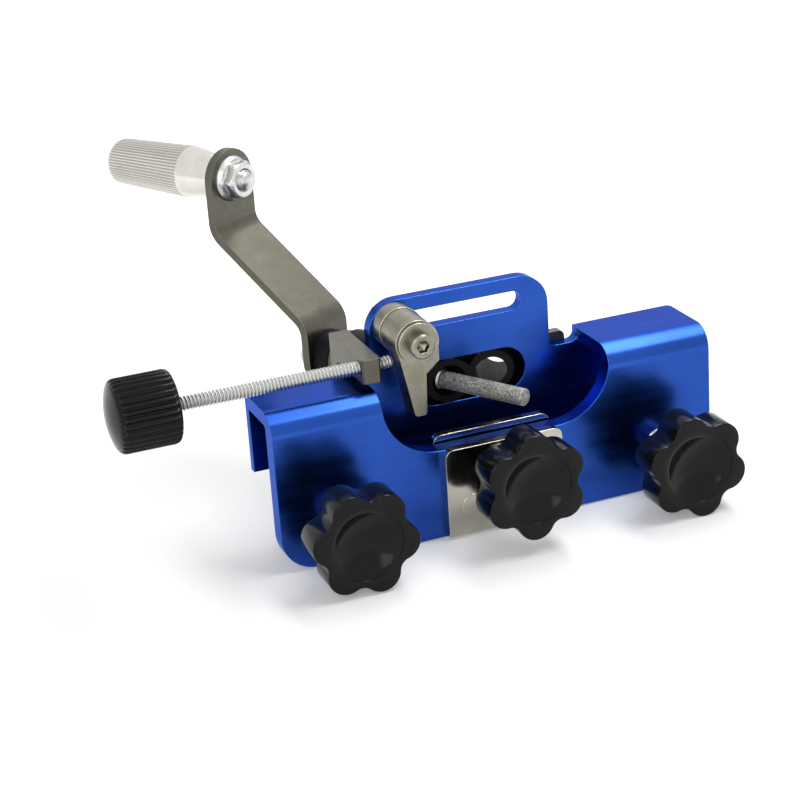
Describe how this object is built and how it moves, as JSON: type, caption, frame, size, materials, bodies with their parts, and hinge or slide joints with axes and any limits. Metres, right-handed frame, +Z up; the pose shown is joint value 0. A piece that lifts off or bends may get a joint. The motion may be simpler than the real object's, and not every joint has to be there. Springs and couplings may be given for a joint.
{
  "type": "chainsaw sharpener",
  "caption": "Hand-cranked sharpener that clamps over a saw's guide bar: blue channel body, slanted round file on a crank, sliding stop pawl, long adjusting screw and star-knob clamps.",
  "frame": {"origin": "middle of the guide bar slot, halfway along the body, level with the walls' lower edges", "axes": "+X along the guide bar towards the notch's free end, +Y from the knobs to the crank, +Z up from the bar"},
  "size_m": [0.1368, 0.1201, 0.0764],
  "materials": {
    "anodised_blue": "satin anodised",
    "bright_steel": "machined",
    "grey_steel": "satin, tumbled",
    "black_metal": "black oxide",
    "file_grit": "coated with grit",
    "zinc": "bright zinc",
    "knurled_steel": "turned and knurled",
    "pawl_steel": "satin cast",
    "black_plastic": "matte moulded"
  },
  "bodies": {
    "body": {"body_channel": "anodised_blue", "front_plate": "bright_steel", "plate_rivets": "bright_steel", "rear_plate": "grey_steel", "left_bearing_block": "black_metal", "right_bearing_block": "black_metal", "block_screws": "bright_steel", "guide_sleeve": "black_metal", "rod_bracket": "grey_steel", "bracket_screw": "bright_steel"},
    "bush": {"slide_bush": "bright_steel"},
    "spindle": {"shaft": "bright_steel", "file": "file_grit", "retaining_ring": "bright_steel", "crank_hub": "black_metal", "hub_grub_screw": "bright_steel", "crank_arm": "grey_steel", "shaft_nut": "zinc", "flange_nut": "zinc", "handle_bolt": "zinc", "handle_washer": "zinc"},
    "grip": {"grip": "knurled_steel"},
    "pawl_carriage": {"pawl_spacer": "bright_steel", "pawl_washer": "bright_steel", "pawl_bolt": "bright_steel", "slot_nut": "zinc"},
    "pawl": {"pawl": "pawl_steel"},
    "rod_tip": {"rod_tip": "zinc"},
    "adjust_screw": {"adjust_rod": "zinc", "adjust_knob": "black_plastic"},
    "left_foot": {"left_pad": "bright_steel"},
    "left_screw": {"left_stud": "zinc", "left_knob": "black_plastic"},
    "chain_clamp": {"chain_clamp_plate": "bright_steel"},
    "middle_screw": {"middle_stud": "zinc", "middle_knob": "black_plastic"},
    "right_foot": {"right_pad": "bright_steel"},
    "right_screw": {"right_stud": "zinc", "right_knob": "black_plastic"}
  },
  "joints": [
    {"name": "file_feed", "type": "slide", "parent": "body", "child": "bush", "axis": [0.5, -0.866, 0], "range_m": [-0.015, 0]},
    {"name": "crank_spin", "type": "hinge", "parent": "bush", "child": "spindle", "pos_m": [-0.005, 0.00575, 0.0298], "axis": [0.5, -0.866, 0], "continuous": true},
    {"name": "grip_spin", "type": "hinge", "parent": "spindle", "child": "grip", "pos_m": [-0.005, 0.00575, 0.069], "axis": [0.5, -0.866, 0], "continuous": true},
    {"name": "pawl_slide", "type": "slide", "parent": "body", "child": "pawl_carriage", "axis": [1, 0, 0], "range_m": [0, 0.003]},
    {"name": "pawl_swing", "type": "hinge", "parent": "pawl_carriage", "child": "pawl", "pos_m": [-0.0172, 0, 0.0456], "axis": [0, -1, 0], "range_deg": [0, 60]},
    {"name": "adjust_slide", "type": "slide", "parent": "body", "child": "rod_tip", "axis": [1, 0, 0], "range_m": [-0.007, 0]},
    {"name": "adjust_turn", "type": "hinge", "parent": "rod_tip", "child": "adjust_screw", "pos_m": [-0.05, -0.00275, 0.0406], "axis": [1, 0, 0], "range_deg": [-3151, 0]},
    {"name": "left_clamp_slide", "type": "slide", "parent": "body", "child": "left_foot", "axis": [0, 1, 0], "range_m": [0, 0.006]},
    {"name": "left_clamp_turn", "type": "hinge", "parent": "left_foot", "child": "left_screw", "pos_m": [-0.039, -0.015, 0.0115], "axis": [0, 1, 0], "range_deg": [0, 2161]},
    {"name": "middle_clamp_slide", "type": "slide", "parent": "body", "child": "chain_clamp", "axis": [0, 1, 0], "range_m": [0, 0.004]},
    {"name": "middle_clamp_turn", "type": "hinge", "parent": "chain_clamp", "child": "middle_screw", "pos_m": [0, -0.015, 0.0155], "axis": [0, 1, 0], "range_deg": [0, 1441]},
    {"name": "right_clamp_slide", "type": "slide", "parent": "body", "child": "right_foot", "axis": [0, 1, 0], "range_m": [0, 0.006]},
    {"name": "right_clamp_turn", "type": "hinge", "parent": "right_foot", "child": "right_screw", "pos_m": [0.039, -0.015, 0.0115], "axis": [0, 1, 0], "range_deg": [0, 2161]}
  ],
  "couplings": [
    {"joint": "adjust_turn", "follows": "adjust_slide", "rad_per_m": 7854},
    {"joint": "left_clamp_turn", "follows": "left_clamp_slide", "rad_per_m": 6283.2},
    {"joint": "middle_clamp_turn", "follows": "middle_clamp_slide", "rad_per_m": 6283.2},
    {"joint": "right_clamp_turn", "follows": "right_clamp_slide", "rad_per_m": 6283.2}
  ]
}
